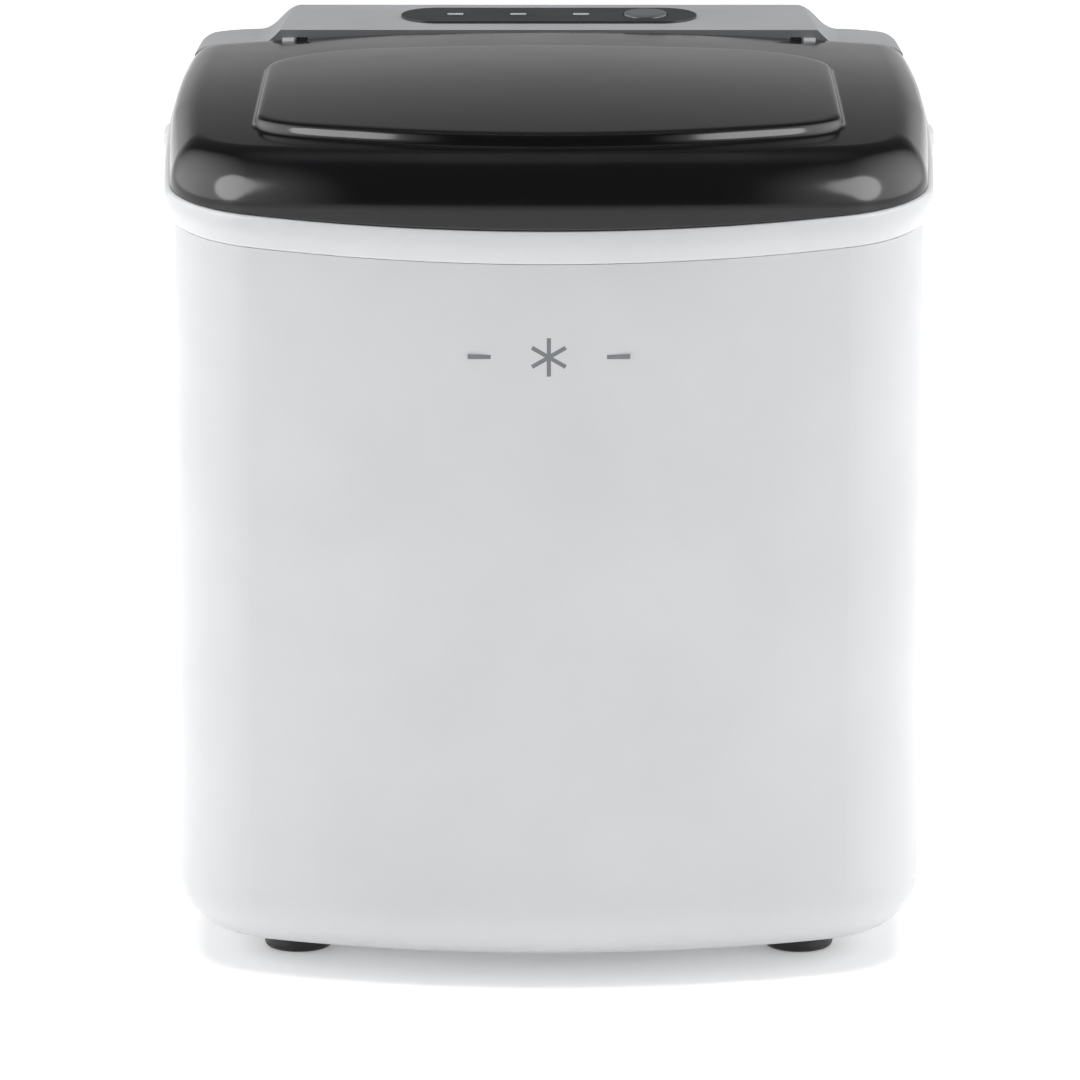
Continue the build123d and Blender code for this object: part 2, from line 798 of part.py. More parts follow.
def make_drain_plug():
    x_end = drain_mouth_x() + 1
    head = rod((-x_end - 4.5, drain_y, drain_z), "X", drain_head_r, 4.5)
    head = fillet(head.edges().group_by(Axis.X)[0], 1.2)
    grip = block(-x_end - 5, -x_end - 2.5, drain_y - 9, drain_y + 9, drain_z + 2, drain_z + 20)
    low = block(-x_end - 5, -x_end - 2.5, drain_y - 9, drain_y + 9, drain_z - 20, drain_z - 2)
    stem = rod((-x_end, drain_y, drain_z), "X", drain_bore_r - run, 12)
    return head - grip - low + stem


def make_base_pan():
    pan = column(floor_inset - 2, floor_plate_z, plate_top_z)
    for x, y in foot_points():
        pan -= rod((x, y, 0), "Z", 2.1, 30)
    for x, y in compressor_feet():
        pan -= rod((x, y, 0), "Z", 2.1, 30)
    vents = [block(20 + 9 * i, 24 + 9 * i, 60, 84, 0, 20) for i in range(9)]
    return pan - vents


def foot_points():
    """Centres of the four feet."""
    return [(sx * foot_x, sy * foot_y) for sx in (-1, 1) for sy in (-1, 1)]


def make_feet():
    feet = []
    for x, y in foot_points():
        pad = rod((x, y, 0), "Z", foot_r, foot_height - 0.5)
        pad = fillet(pad.edges().group_by(Axis.Z)[0], 2)
        neck = rod((x, y, 5), "Z", foot_neck_r, floor_plate_z - 5)
        screw = rod((x, y, 3), "Z", 3.6, 3) + rod((x, y, 2), "Z", 1.5 + run, 20)
        well = rod((x, y, -1), "Z", 3.6, 5)
        feet.append(pad + neck - well - screw)
    return feet


def make_foot_screws():
    return [
        rod((x, y, 3.5), "Z", 3.4, 2.4) + rod((x, y, 5), "Z", 1.5, plate_top_z - 5.2)
        for x, y in foot_points()
    ]


def compressor_feet():
    """Centres of the compressor's three rubber mounts."""
    reach = compressor_r + 6
    return [
        (
            compressor_x + reach * math.cos(math.radians(a)),
            compressor_y + reach * math.sin(math.radians(a)),
        )
        for a in (30, 150, 270)
    ]


def make_compressor():
    z0 = plate_top_z + mount_height + 2.5
    can = rod((compressor_x, compressor_y, z0), "Z", compressor_r, compressor_top_z - z0)
    can = fillet(can.edges().group_by(Axis.Z)[-1], 10)
    can = fillet(can.edges().group_by(Axis.Z)[0], 8)
    weld = rod((compressor_x, compressor_y, 68), "Z", compressor_r + 2, 4)
    legs = [
        rod((x, y, z0 - 2), "Z", 9, 2) + leg_arm(x, y, z0 - 2)
        for x, y in compressor_feet()
    ]
    holes = [rod((x, y, 0), "Z", 4.2, 60) for x, y in compressor_feet()]
    plate = rod((compressor_x, compressor_y, z0 - 2), "Z", compressor_r - 9, 4)
    return can + weld + plate + legs - holes


def leg_arm(x, y, z0):
    """Flat arm from the compressor's middle to one of its mounts."""
    angle = math.degrees(math.atan2(y - compressor_y, x - compressor_x))
    arm = Pos(compressor_r / 2 + 1, 0, 1) * Box(compressor_r + 2, 18, 2)
    return Pos(compressor_x, compressor_y, z0) * Rot(0, 0, angle) * arm


def make_grommets():
    pieces = []
    for x, y in compressor_feet():
        body = rod((x, y, plate_top_z), "Z", 8, mount_height + 0.5)
        body += rod((x, y, plate_top_z), "Z", 4.2, mount_height + 4)
        pieces.append(body - rod((x, y, 0), "Z", 2.0, 60))
    return pieces


def make_compressor_bolts():
    top = plate_top_z + mount_height + 4
    return [
        rod((x, y, floor_plate_z + 0.1), "Z", 2.0, top - floor_plate_z) + rod((x, y, top), "Z", 5, 3)
        for x, y in compressor_feet()
    ]


def make_terminal_cover():
    x0 = compressor_x + compressor_r - 6
    cover = block(x0, x0 + 18, compressor_y - 17, compressor_y + 17, 78, 108)
    cover = fillet(cover.edges().filter_by(Axis.Z).group_by(Axis.X)[-1], 4)
    return cover - rod((compressor_x, compressor_y, 0), "Z", compressor_r, 200)


def make_condenser():
    fins = [
        block(x, x + 0.8, condenser_y0, condenser_y1, condenser_z0, condenser_z1)
        for x in [condenser_x0 + 2 + 4.4 * i for i in range(21)]
    ]
    coil = []
    for z in range(int(condenser_z0) + 10, int(condenser_z1) - 4, 18):
        for y in (condenser_y0 + 6, condenser_y1 - 6):
            coil.append(rod((condenser_x0, y, z), "X", 3.5, condenser_x1 - condenser_x0))
    frame = block(condenser_x0, condenser_x1, condenser_y0, condenser_y1, condenser_z1 - 1.5, condenser_z1)
    base = block(condenser_x0, condenser_x1, condenser_y0, condenser_y1, plate_top_z, condenser_z0)
    return frame + base + fins + coil


def make_fan_shroud():
    y0 = condenser_y1 + 1
    plate = block(condenser_x0, condenser_x1, y0, y0 + 2, plate_top_z, condenser_z1)
    duct = rod((fan_x, y0, fan_z), "Y", fan_hole_r + 2, 17)
    spokes = [
        Pos(fan_x, y0 + 16, fan_z) * Rot(0, 45 + 90 * i, 0) * Pos(0, 0, 30) * Box(5, 2, 30)
        for i in range(4)
    ]
    hole = rod((fan_x, y0 - 1, fan_z), "Y", fan_hole_r, 30)
    carrier = rod((fan_x, y0 + 15, fan_z), "Y", 18, 2)
    shroud = plate + duct - hole + spokes + carrier
    return shroud - rod((fan_x, y0, fan_z), "Y", shaft_r + 1, 30)


def make_fan_motor():
    y0 = condenser_y1 + 18.1
    can = rod((fan_x, y0, fan_z), "Y", 15, 12)
    can = fillet(can.edges().group_by(Axis.Y)[-1], 2)
    return can + rod((fan_x, y0 - 12, fan_z), "Y", shaft_r, 14)


def make_fan_blade():
    y0 = condenser_y1 + 5
    hub = rod((fan_x, y0, fan_z), "Y", hub_r, 9)
    blade = Pos(0, 0, (hub_r + fan_r) / 2 - 1) * Rot(0, 0, 28) * Box(22, 1.6, fan_r - hub_r + 2)
    blade &= rod((0, -20, 0), "Y", fan_r, 40)
    blades = [Pos(fan_x, y0 + 5, fan_z) * Rot(0, 72 * i, 0) * blade for i in range(5)]
    fan = hub + blades
    return fan - rod((fan_x, y0 - 1, fan_z), "Y", shaft_r + run, 30)


def make_main_board():
    y_cover = rear_y - body_inset - wall
    y0 = y_cover - 16
    board = block(2, 86, y0, y0 + 1.6, 150, 218)
    parts = [
        block(8, 38, y0 - 22, y0 + 0.1, 156, 184),
        block(44, 56, y0 - 15, y0 + 0.1, 156, 180),
        block(60, 72, y0 - 15, y0 + 0.1, 156, 180),
        rod((20, y0 - 20, 202), "Y", 8, 20.1),
        block(34, 78, y0 - 8, y0 + 0.1, 194, 206),
    ]
    spacers = [rod((x, y0 + 1.5, z), "Y", 3, 14.5 - gap) for x in (6, 82) for z in (154, 214)]
    return board + parts + spacers


def make_power_inlet():
    y_face = rear_y - body_inset
    flange = block(inlet_x - 18, inlet_x + 18, y_face, y_face + 2.5, inlet_z - 12, inlet_z + 12)
    flange = fillet(flange.edges().filter_by(Axis.Y), 4)
    body = block(inlet_x - 12.8, inlet_x + 12.8, y_face - 20, y_face, inlet_z - 9.3, inlet_z + 9.3)
    socket = block(inlet_x - 11.2, inlet_x + 11.2, y_face - 16, y_face + 5, inlet_z - 7.6, inlet_z + 7.6)
    pins = [
        block(x - 0.9, x + 0.9, y_face - 17, y_face - 2, z - 2, z + 2)
        for x, z in [(inlet_x + dx, inlet_z + dz) for dx, dz in ((-7, -1), (0, 2), (7, -1))]
    ]
    return flange + body - socket + pins


def make_badge():
    """Plain frost mark let into the front: three crossed bars between two short lines."""
    y = front_y + body_inset + badge_thick / 2
    place = Pos(0, y, badge_z)
    bar = Box(1.3, badge_thick, badge_height)
    star = [place * Rot(0, angle, 0) * bar for angle in (0, 60, 120)]
    reach = badge_height / 2 + 5 + badge_line / 2
    bow = reach ** 2 / (2 * badge_bow_r)
    lines = [place * Pos(side * reach, bow, 0) * Box(badge_line, badge_thick, 1.3) for side in (-1, 1)]
    return [star[0] + star[1] + star[2], *lines]


PIECES = {
    "front_shell": make_front_shell,
    "rear_cover": make_rear_cover,
    "rear_cover_screws": make_rear_screws,
    "top_frame": make_top_frame,
    "base_pan": make_base_pan,
    "feet": make_feet,
    "foot_screws": make_foot_screws,
    "lid_shell": make_lid_shell,
    "lid_liner": make_lid_liner,
    "lid_seal": make_lid_seal,
    "hinge_pins": make_hinge_pins,
    "console_cover": make_console_cover,
    "control_panel": make_control_panel,
    "indicator_lenses": make_indicator_lenses,
    "power_button": make_power_button,
    "control_board": make_control_board,
    "front_badge": make_badge,
    "inner_tub": make_inner_tub,
    "foam_insulation": make_foam,
    "ice_chute": make_ice_chute,
    "ice_basket": make_ice_basket,
    "evaporator": make_evaporator,
    "evaporator_bracket": make_evaporator_bracket,
    "suction_pipe": make_suction_pipe,
    "hot_gas_pipe": make_hot_gas_pipe,
    "discharge_pipe": make_discharge_pipe,
    "condenser_pipe": make_condenser_pipe,
    "gas_valve": make_gas_valve,
    "filter_drier": make_filter_drier,
    "water_tray": make_water_tray,
    "tray_brackets": make_tray_brackets,
    "tray_motor": make_tray_motor,
    "ice_pusher": make_ice_pusher,
    "ice_sensors": make_ice_sensors,
    "water_pump": make_pump,
    "pump_impeller": make_impeller,
    "pump_filter": make_pump_filter,
    "water_hose": make_water_hose,
    "drain_spout": make_drain_spout,
    "drain_seal": make_drain_seal,
    "drain_plug": make_drain_plug,
    "compressor": make_compressor,
    "compressor_grommets": make_grommets,
    "compressor_bolts": make_compressor_bolts,
    "terminal_cover": make_terminal_cover,
    "condenser": make_condenser,
    "fan_shroud": make_fan_shroud,
    "fan_motor": make_fan_motor,
    "fan_blade": make_fan_blade,
    "main_board": make_main_board,
    "power_inlet": make_power_inlet,
}

os.makedirs("parts", exist_ok=True)
for name, make in PIECES.items():
    shape = make()
    solids = shape if isinstance(shape, list) else [shape]
    solids = [s for item in solids for s in item.solids()]
    export_step(Compound(solids), f"parts/{name}.step")
    print(name, len(solids))
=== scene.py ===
import math

import bmesh
import bpy
import numpy as np
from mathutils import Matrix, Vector


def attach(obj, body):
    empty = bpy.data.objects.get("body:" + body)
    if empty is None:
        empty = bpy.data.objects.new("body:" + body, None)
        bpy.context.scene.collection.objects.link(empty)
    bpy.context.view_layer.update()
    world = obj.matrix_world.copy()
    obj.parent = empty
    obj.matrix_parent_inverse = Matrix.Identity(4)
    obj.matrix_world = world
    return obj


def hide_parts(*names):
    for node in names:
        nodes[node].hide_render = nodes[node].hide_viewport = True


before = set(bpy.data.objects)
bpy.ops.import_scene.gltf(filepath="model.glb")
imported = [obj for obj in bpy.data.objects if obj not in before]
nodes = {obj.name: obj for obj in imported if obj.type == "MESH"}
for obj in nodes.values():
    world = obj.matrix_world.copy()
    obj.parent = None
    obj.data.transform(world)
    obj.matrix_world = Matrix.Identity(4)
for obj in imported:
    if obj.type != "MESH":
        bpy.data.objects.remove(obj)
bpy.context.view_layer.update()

scene = bpy.context.scene
MM = 0.001

# ---------------------------------------------------------------- colours and nodes


def linear(code):
    """Linear RGBA of an sRGB hex colour."""
    parts = [int(code[i:i + 2], 16) / 255 for i in (1, 3, 5)]
    return [p / 12.92 if p <= 0.04045 else ((p + 0.055) / 1.055) ** 2.4 for p in parts] + [1.0]


def add(tree, kind, feeds=None, **settings):
    """Adds one node: settings are its properties, feeds its inputs' values or the sockets that drive
    them."""
    made = tree.nodes.new("ShaderNode" + kind)
    for name, value in settings.items():
        setattr(made, name, value)
    for name, value in (feeds or {}).items():
        if isinstance(value, bpy.types.NodeSocket):
            tree.links.new(value, made.inputs[name])
        else:
            made.inputs[name].default_value = value
    return made


def start(name, colour, roughness, **sockets):
    """A new material with one surface shader; sockets sets the shader's own values."""
    material = bpy.data.materials.new(name)
    material.use_nodes = True
    tree = material.node_tree
    tree.nodes.clear()
    shader = add(tree, "BsdfPrincipled", {"Base Color": linear(colour), "Roughness": roughness})
    for socket, value in sockets.items():
        shader.inputs[socket.replace("_", " ")].default_value = value
    add(tree, "OutputMaterial", {"Surface": shader.outputs[0]})
    return material, tree, shader


def place(tree):
    """Object coordinates in metres."""
    return add(tree, "TexCoord").outputs["Object"]


def cloud(tree, size, detail=3.0, stretch=(1, 1, 1)):
    """Noise with lumps of the given size in mm, stretched along the axes."""
    scaled = add(tree, "Mapping", {"Vector": place(tree), "Scale": stretch})
    feeds = {"Vector": scaled.outputs[0], "Scale": 1 / (size * MM), "Detail": detail}
    return add(tree, "TexNoise", feeds).outputs[0]


def tint(tree, shader, factor, low, high, spread=0.18):
    """Base colour drifts between two colours where the factor crosses its middle."""
    ramp = add(tree, "ValToRGB", {"Fac": factor})
    ramp.color_ramp.elements[0].position = 0.5 - spread
    ramp.color_ramp.elements[1].position = 0.5 + spread
    ramp.color_ramp.elements[0].color = linear(low)
    ramp.color_ramp.elements[1].color = linear(high)
    tree.links.new(ramp.outputs[0], shader.inputs["Base Color"])


def vary_roughness(tree, shader, factor, low, high):
    """Roughness runs between two values with the factor."""
    span = add(tree, "MapRange", {"Value": factor, "From Min": 0.3, "From Max": 0.7,
                                  "To Min": low, "To Max": high})
    tree.links.new(span.outputs[0], shader.inputs["Roughness"])


def relief(tree, shader, factor, height):
    """Bump of the given height in mm."""
    bump = add(tree, "Bump", {"Height": factor, "Distance": height * MM})
    tree.links.new(bump.outputs[0], shader.inputs["Normal"])


def moulded(name, colours, roughness, grain, depth, **sockets):
    """Injection-moulded plastic: two near colours, spark-eroded grain of a size and depth in mm."""
    material, tree, shader = start(name, colours[0], sum(roughness) / 2, **sockets)
    tint(tree, shader, cloud(tree, 40), *colours)
    vary_roughness(tree, shader, cloud(tree, 15), *roughness)
    relief(tree, shader, cloud(tree, grain, 2.0), depth)
    return material


def drawn_metal(name, colours, roughness, line, depth, stretch=(0.08, 1, 1), **sockets):
    """Metal with fine lines from drawing or rolling, a line's width and depth in mm."""
    material, tree, shader = start(name, colours[0], sum(roughness) / 2, Metallic=1.0, **sockets)
    tint(tree, shader, cloud(tree, 12), *colours)
    lines = cloud(tree, line, 2.0, stretch)
    vary_roughness(tree, shader, lines, *roughness)
    relief(tree, shader, lines, depth)
    return material


# ---------------------------------------------------------------- materials

# Moulded white ABS: a satin skin whose fine grain softens every highlight.
abs_white = moulded("white_abs", ("#C4C5C7", "#C8C9CB"), (0.34, 0.4), 0.6, 0.012, IOR=1.53)

# Smoked SAN: clear deep-grey plastic, polished, so it mirrors the room and shows the inside faintly.
san_smoke, tree, shader = start("smoked_san", "#141416", 0.12, IOR=1.49, Transmission_Weight=0.4)
vary_roughness(tree, shader, cloud(tree, 30), 0.1, 0.14)
relief(tree, shader, cloud(tree, 50, 1.0), 0.02)

# Clear SAN liner: thin and colourless, seen only by its edges and reflections.
san_clear, tree, shader = start("clear_san", "#E8ECEE", 0.08, IOR=1.55, Transmission_Weight=0.92)
vary_roughness(tree, shader, cloud(tree, 20), 0.06, 0.12)
relief(tree, shader, cloud(tree, 30, 1.0), 0.02)

# Clear polystyrene of the ice basket: slightly blue in its thickness, with scuffs.
basket_clear, tree, shader = start("clear_polystyrene", "#DCE9EE", 0.12, IOR=1.58, Transmission_Weight=0.85)
vary_roughness(tree, shader, cloud(tree, 4), 0.08, 0.2)
relief(tree, shader, cloud(tree, 2), 0.01)

# Extruded silicone: dull, soft-looking grey.
silicone = moulded("silicone_rubber", ("#8C8F92", "#97999C"), (0.55, 0.65), 0.8, 0.015)

# Satin grey ABS of the console and the drain plug: even mid grey with a soft shine.
abs_grey = moulded("satin_grey_abs", ("#88898B", "#8D8F91"), (0.3, 0.36), 0.5, 0.01, IOR=1.53)

# Printed polycarbonate film of the control panel: charcoal, fine sand texture.
panel_film = moulded("printed_polycarbonate", ("#252628", "#2A2B2D"), (0.3, 0.38), 0.35, 0.008, IOR=1.58)

# Diffusing acrylic of the lamp windows: milky grey when the lamps are off.
lamp_acrylic = moulded("diffusing_acrylic", ("#A7AAAD", "#B4B7BA"), (0.18, 0.26), 0.3, 0.004,
                       Transmission_Weight=0.2)

# Glossy dark ABS of the power button: domed and polished by fingers.
abs_button = moulded("polished_dark_abs", ("#4A4B4D", "#525355"), (0.16, 0.3), 0.5, 0.003)

# Pad-printed ink of the frost mark: flat mid grey with a slight sheen.
ink_grey = moulded("pad_printed_ink", ("#6B6F73", "#74787C"), (0.4, 0.5), 0.25, 0.004)

# High-impact polystyrene of the tub: whiter and glossier than the casing.
hips_white = moulded("high_impact_polystyrene", ("#EDEFF0", "#F3F4F5"), (0.2, 0.3), 0.9, 0.006)

# Acetal of the tray parts: waxy white.
acetal = moulded("acetal", ("#E6E8E6", "#EEEFEC"), (0.28, 0.36), 0.7, 0.006)

# Blown polyurethane foam: cream, full of small cells with a wrinkled skin.
foam, tree, shader = start("polyurethane_foam", "#E5D7A8", 0.85)
cells = add(tree, "TexVoronoi", {"Vector": place(tree), "Scale": 1 / (1.6 * MM)})
tint(tree, shader, cloud(tree, 10), "#D9C890", "#EADFB6")
relief(tree, shader, cells.outputs[0], 0.5)

# Nickel-plated copper of the evaporator: warm bright metal, drawn lines.
plated = drawn_metal("nickel_plated_copper", ("#C9C4BC", "#D6D2CB"), (0.16, 0.28), 0.5, 0.004)

# Drawn copper pipe: pink-orange metal with patches of darker tarnish.
copper = drawn_metal("drawn_copper", ("#A85D3E", "#C98462"), (0.22, 0.38), 0.4, 0.004)

# Galvanised steel sheet: cool grey with crystal spangles about 7 mm across.
galvanised, tree, shader = start("galvanised_steel", "#A9ACAF", 0.36, Metallic=1.0)
spangle = add(tree, "TexVoronoi", {"Vector": place(tree), "Scale": 1 / (7 * MM)})
tint(tree, shader, spangle.outputs[1], "#9DA1A5", "#B9BCBF", 0.4)
vary_roughness(tree, shader, cloud(tree, 6), 0.28, 0.44)

# Zinc-plated screws and pins: bright, cool steel with fine turning marks.
screw_zinc = drawn_metal("zinc_plated_steel", ("#B4B6B4", "#C6C8C8"), (0.2, 0.32), 0.3, 0.006)

# Black enamel over steel on the compressor: thick gloss with slight orange peel.
enamel, tree, shader = start("black_enamel", "#141414", 0.16, Coat_Weight=0.6, Coat_Roughness=0.08)
tint(tree, shader, cloud(tree, 20), "#111112", "#1C1C1D")
relief(tree, shader, cloud(tree, 2.5, 1.0), 0.06)

# Black polypropylene: dark, even, dull grain.
pp_black = moulded("black_polypropylene", ("#19191A", "#222223"), (0.42, 0.55), 0.7, 0.02)

# Moulded rubber of the feet and grommets: black with a soft shine.
rubber = moulded("moulded_rubber", ("#121213", "#1A1A1B"), (0.3, 0.5), 0.9, 0.02)

# Rolled aluminium of the fins: pale, lined across the strip.
aluminium = drawn_metal("rolled_aluminium", ("#C2C5C8", "#D0D3D5"), (0.24, 0.36), 0.5, 0.004, (1, 1, 0.1))

# Solder-masked board: deep green laminate with paler tracks under the mask.
board, tree, shader = start("solder_masked_laminate", "#1F5A34", 0.3, Coat_Weight=0.3)
tracks = add(tree, "TexBrick", {"Vector": place(tree), "Scale": 1 / (9 * MM), "Color1": linear("#1E5C35"),
                                "Color2": linear("#236A3E"), "Mortar": linear("#3B8A58"),
                                "Mortar Size": 0.05})
tree.links.new(tracks.outputs[0], shader.inputs["Base Color"])
relief(tree, shader, tracks.outputs[1], 0.04)

# Clear silicone hose: milky and soft.
hose_silicone, tree, shader = start("clear_silicone", "#DDE2E2", 0.3, Transmission_Weight=0.5, IOR=1.41)
vary_roughness(tree, shader, cloud(tree, 3), 0.24, 0.36)
relief(tree, shader, cloud(tree, 0.8), 0.01)

# Stamped steel can of the motors and the gas valve: mid grey with faint rolling lines.
motor_steel = drawn_metal("stamped_steel", ("#9A9C9E", "#ADAFB0"), (0.26, 0.4), 0.4, 0.006)

FINISHES = {
    "front_shell": abs_white, "rear_cover": abs_white, "top_frame": abs_white,
    "rear_cover_screws": screw_zinc, "foot_screws": screw_zinc, "compressor_bolts": screw_zinc,
    "base_pan": galvanised, "evaporator_bracket": galvanised, "hinge_pins": screw_zinc,
    "feet": rubber, "compressor_grommets": rubber,
    "lid_shell": san_smoke, "lid_liner": san_clear, "lid_seal": silicone, "drain_seal": silicone,
    "console_cover": abs_grey, "control_panel": panel_film, "indicator_lenses": lamp_acrylic,
    "power_button": abs_button, "control_board": board, "main_board": board,
    "front_badge": ink_grey, "inner_tub": hips_white, "foam_insulation": foam,
    "ice_chute": hips_white, "ice_basket": basket_clear, "water_tray": acetal,
    "tray_brackets": acetal, "ice_pusher": acetal, "evaporator": plated,
    "suction_pipe": copper, "hot_gas_pipe": copper, "discharge_pipe": copper,
    "condenser_pipe": copper, "filter_drier": copper, "gas_valve": motor_steel,
    "tray_motor": motor_steel, "fan_motor": motor_steel, "ice_sensors": pp_black,
    "water_pump": pp_black, "pump_impeller": acetal, "pump_filter": pp_black,
    "water_hose": hose_silicone, "drain_spout": hips_white, "drain_plug": abs_grey,
    "compressor": enamel, "terminal_cover": pp_black, "condenser": aluminium,
    "fan_shroud": pp_black, "fan_blade": pp_black, "power_inlet": pp_black,
}
for name, material in FINISHES.items():
    mesh = nodes[name].data
    mesh.materials.clear()
    mesh.materials.append(material)

# ---------------------------------------------------------------- the casing's outline, sizes in mm

FRONT, REAR, HALF = -147.5, 147.5, 119.0
FRONT_BOW, SIDE_BOW, FRONT_R, REAR_R, LEAST_R = 29.0, 4.5, 42.0, 24.0, 3.0
SEAM_Z, SEAM_MID_Y, SEAM_MID, SEAM_RISE = 240.0, -7.5, 14.5, 18.0
HINGE_Y, HINGE_Z, ROLL = 93.5, 266.0, 5.2
LID_BACK = HINGE_Y + ROLL


def crossing(x1, y1, r1, x2, y2, r2):
    """Where two circles cross, on the side away from the machine's middle: the foot on the line of
    centres plus the half chord."""
    dx, dy = x2 - x1, y2 - y1
    gap = np.hypot(dx, dy)
    along = (r1 ** 2 - r2 ** 2 + gap ** 2) / (2 * gap)
    up = np.sqrt(np.maximum(r1 ** 2 - along ** 2, 0))
    a = (x1 + along * dx / gap - up * dy / gap, y1 + along * dy / gap + up * dx / gap)
    b = (x1 + along * dx / gap + up * dy / gap, y1 + along * dy / gap - up * dx / gap)
    right = a[0] > b[0]
    return np.where(right, a[0], b[0]), np.where(right, a[1], b[1])


def half_outline(inset, back, shares, rear_r=0.0, notch=0.0):
    """Right half of the casing's plan: a wide front arc, a corner arc, a bowed side, an optional rear corner
    arc and a straight back. inset and back are (rows, columns) arrays; shares gives each section's
    parameters: 0 to 1, and for the back 2 at its outer end, 1 at the notch and 0 at the middle."""
    arc_u, corner_u, side_u, rear_u, back_u = shares
    n = np.cumsum([0, *map(len, shares)])
    part = [slice(n[i], n[i + 1]) for i in range(5)]
    half, front, rear = HALF - inset, FRONT + inset, REAR - inset
    corner_y = front + FRONT_BOW
    big = (half ** 2 + FRONT_BOW ** 2) / (2 * FRONT_BOW)
    length, middle = (rear - corner_y) / 2, (rear + corner_y) / 2
    side = (length ** 2 + SIDE_BOW ** 2) / (2 * SIDE_BOW)
    cx, cy = half + SIDE_BOW - side, front + big
    r = np.maximum(FRONT_R - inset, LEAST_R)
    fx, fy = crossing(0 * half, cy, big - r, cx, middle, side - r)
    low = np.arctan2(fy - cy, fx)
    high = np.arctan2(fy - middle, fx - cx)
    x, y = np.zeros_like(half), np.zeros_like(half)
    turn = -np.pi / 2 + (low + np.pi / 2)[:, part[0]] * arc_u
    x[:, part[0]] = big[:, part[0]] * np.cos(turn)
    y[:, part[0]] = cy[:, part[0]] + big[:, part[0]] * np.sin(turn)
    turn = low[:, part[1]] + (high - low)[:, part[1]] * corner_u
    x[:, part[1]] = fx[:, part[1]] + r[:, part[1]] * np.cos(turn)
    y[:, part[1]] = fy[:, part[1]] + r[:, part[1]] * np.sin(turn)
    end = back - rear_r
    y0 = middle + side * np.sin(high)
    ys = y0[:, part[2]] + (end - y0)[:, part[2]] * side_u
    x[:, part[2]] = cx[:, part[2]] + np.sqrt(side[:, part[2]] ** 2 - (ys - middle[:, part[2]]) ** 2)
    y[:, part[2]] = ys
    edge = cx + np.sqrt(side ** 2 - (end - middle) ** 2)
    turn = rear_u * np.pi / 2
    x[:, part[3]] = edge[:, part[3]] - (rear_r + 0 * edge)[:, part[3]] * (1 - np.cos(turn))
    y[:, part[3]] = end[:, part[3]] + (rear_r + 0 * edge)[:, part[3]] * np.sin(turn)
    inner = edge - rear_r
    fixed = back_u <= 1.0
    outer = notch + (inner[:, part[4]] - notch) * (back_u - 1.0)
    x[:, part[4]] = np.where(fixed, notch * back_u, outer)
    y[:, part[4]] = back[:, part[4]]
    return x, y


def spread(steps):
    """Parameters from 0 up to, but without, 1 in equal steps."""
    return np.linspace(0, 1, steps + 1)[:-1]


def seam_height(y):
    """Height of the seam: an arc through the front, the middle and the hinge line, then level."""
    level = SEAM_Z + SEAM_RISE
    a, b, c = np.array([[FRONT, SEAM_Z], [SEAM_MID_Y, SEAM_Z + SEAM_MID], [HINGE_Y, level]])
    cy, cz = np.linalg.solve(2 * np.array([b - a, c - a]), [b @ b - a @ a, c @ c - a @ a])
    r = np.hypot(a[0] - cy, a[1] - cz)
    return np.where(y < HINGE_Y, cz + np.sqrt(r ** 2 - (np.minimum(y, HINGE_Y) - cy) ** 2), level)


def both_halves(x, y, z):
    """Right half mirrored to the left; the front and back middle columns are shared."""
    right = np.stack([x, y, z], -1)
    return np.concatenate([right, right[:, -2:0:-1] * (-1, 1, 1)], 1)


def tidy_normals(piece):
    """Points a piece's faces outwards."""
    made = bmesh.new()
    made.from_mesh(piece.data)
    bmesh.ops.recalc_face_normals(made, faces=made.faces)
    made.to_mesh(piece.data)
    made.free()


def smooth_piece(name, points, faces):
    """A smooth-shaded object at the origin from points in metres and a list of faces."""
    mesh = bpy.data.meshes.new(name)
    mesh.from_pydata(points.tolist(), [], faces)
    mesh.polygons.foreach_set("use_smooth", np.ones(len(faces), bool))
    piece = bpy.data.objects.new(name, mesh)
    scene.collection.objects.link(piece)
    return piece


def closed_piece(name, loops, pole=None, cyclic=False):
    """Surface through closed loops, an array of (loops, points, 3) in mm. A pole closes the last loop
    with a fan; cyclic joins the last loop to the first."""
    rows, columns = loops.shape[:2]
    r, c = np.meshgrid(np.arange(rows if cyclic else rows - 1), np.arange(columns), indexing="ij")
    up, right = (r + 1) % rows, (c + 1) % columns
    quads = np.stack([r * columns + c, r * columns + right, up * columns + right, up * columns + c], -1)
    faces = quads.reshape(-1, 4).tolist()
    points = loops.reshape(-1, 3) * MM
    if pole is not None:
        last = (rows - 1) * columns + np.arange(columns)
        tip = np.full(columns, len(points))
        faces += np.stack([last, np.roll(last, -1), tip], -1).tolist()
        points = np.concatenate([points, np.array([pole]) * MM])
    return smooth_piece(name, points, faces)


# ---------------------------------------------------------------- lid

LID_INSET, LID_WALL, NOTCH_IN, NOTCH_OUT, NOTCH_DEEP = 1.5, 2.5, 85.8, 90.4, 10.7
SHOULDER_DEPTH, SHOULDER_HIGH, SIDE_HIGH = 10.0, 16.5, 10.0
SIDE_DEPTH_LOSS, WALL_GAP, WALL_LEAST, LEDGE_GAP = 1.0, 0.3, 0.5, 0.6
WALL_ROWS, TURN_ROWS = 9, 15
TOP_FRONT, TOP_RISE, CROWN, CROWN_HALF, ARCH = 263.0, 8.0, 5.0, 122.0, 3.0
PANEL_HALF, PANEL_FRONT, PANEL_REAR, PANEL_R, PANEL_BOW, PANEL_RISE = 92.0, -132.0, 48.0, 33.0, 15.0, 4.2
PANEL_MID = (PANEL_FRONT + PANEL_REAR) / 2
REAR_SHARE = 0.35  # the riser's height at the panel's rear, as a share of its height in front
